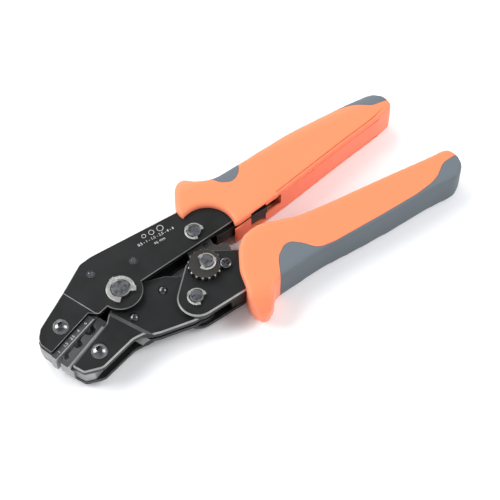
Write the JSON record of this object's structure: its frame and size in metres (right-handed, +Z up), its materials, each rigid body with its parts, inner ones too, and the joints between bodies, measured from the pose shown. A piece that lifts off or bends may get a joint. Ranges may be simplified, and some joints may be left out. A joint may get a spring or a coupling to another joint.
{
  "type": "ratcheting crimping pliers",
  "caption": "Hand crimping pliers: plate jaws with screwed-in nest dies, toggle link, ratchet, star wheel adjuster and two-tone grips, lying on their back.",
  "frame": {"origin": "under the middle of the tool, on the plane that the flat backs of the grips rest on", "axes": "+X from the jaws to the grips, +Y from the moving jaw to the fixed jaw, +Z up out of the front face, along every pin"},
  "size_m": [0.226, 0.0863, 0.0211],
  "materials": {
    "black_steel": "black oxide, satin",
    "die_steel": "dark hardened steel, ground",
    "black_screw": "dark zinc, polished head",
    "rivet_steel": "polished steel",
    "clip_steel": "bright spring steel",
    "pin_steel": "ground steel",
    "spring_steel": "drawn wire",
    "wheel_steel": "black oxide with bright tooth edges",
    "link_steel": "hardened grey steel",
    "grip_shell": "orange moulded plastic, satin",
    "grip_inlay": "blue-grey soft rubber, matt"
  },
  "bodies": {
    "frame": {"frame_plate_front": "black_steel", "frame_plate_back": "black_steel", "frame_spacer": "black_steel", "frame_tang": "black_steel", "frame_rivets": "rivet_steel", "tang_rivets": "rivet_steel", "fixed_die": "die_steel", "fixed_die_screw": "black_screw", "fixed_die_nut": "black_screw", "main_pivot_pin": "pin_steel", "main_pivot_clip": "clip_steel", "link_anchor_pin": "pin_steel", "link_anchor_clip": "clip_steel", "frame_spring_post": "pin_steel", "return_spring": "spring_steel", "fixed_grip_shell": "grip_shell", "fixed_grip_inlay": "grip_inlay"},
    "moving_jaw": {"jaw_plate_front": "black_steel", "jaw_plate_back": "black_steel", "jaw_shim": "black_steel", "jaw_rivets": "rivet_steel", "moving_die": "die_steel", "moving_die_screw": "black_screw", "moving_die_nut": "black_screw"},
    "hand_lever": {"lever_plate_front": "black_steel", "lever_plate_back": "black_steel", "lever_spacer": "black_steel", "lever_rivets": "rivet_steel", "jaw_pin": "pin_steel", "jaw_pin_clip": "clip_steel", "star_wheel": "wheel_steel", "rear_bush": "pin_steel", "toggle_pin": "pin_steel", "toggle_pin_clip": "clip_steel", "lock_screw": "black_screw", "pawl_pin": "pin_steel", "lever_spring_post": "pin_steel", "pawl_spring": "spring_steel", "moving_grip_shell": "grip_shell", "moving_grip_inlay": "grip_inlay"},
    "toggle_link": {"link_plate_front": "link_steel", "link_plate_back": "link_steel", "ratchet_sector": "link_steel", "link_rivets": "rivet_steel", "link_spring_post": "pin_steel"},
    "pawl": {"pawl": "link_steel"}
  },
  "joints": [
    {"name": "jaw_pivot", "type": "hinge", "parent": "frame", "child": "moving_jaw", "pos_m": [-0.06603, 0.00761, 0.01], "axis": [0, 0, 1], "range_deg": [-2.6, 7.8]},
    {"name": "lever_pivot", "type": "hinge", "parent": "moving_jaw", "child": "hand_lever", "pos_m": [-0.03853, -0.01659, 0.01], "axis": [0, 0, 1], "range_deg": [-31.68, 10.56], "deforming": ["return_spring"]},
    {"name": "link_pivot", "type": "hinge", "parent": "frame", "child": "toggle_link", "pos_m": [-0.01933, 0.01421, 0.01], "axis": [0, 0, 1], "range_deg": [-6.9, 20.5]},
    {"name": "pawl_pivot", "type": "hinge", "parent": "hand_lever", "child": "pawl", "pos_m": [-0.00003, -0.01439, 0.01], "axis": [0, 0, 1], "range_deg": [-12, 12], "stiffness_Nm_per_rad": 0.02, "deforming": ["pawl_spring"]}
  ],
  "couplings": [
    {"joint": "jaw_pivot", "follows": "lever_pivot", "ratio": -0.24242},
    {"joint": "link_pivot", "follows": "lever_pivot", "ratio": -0.64394}
  ]
}
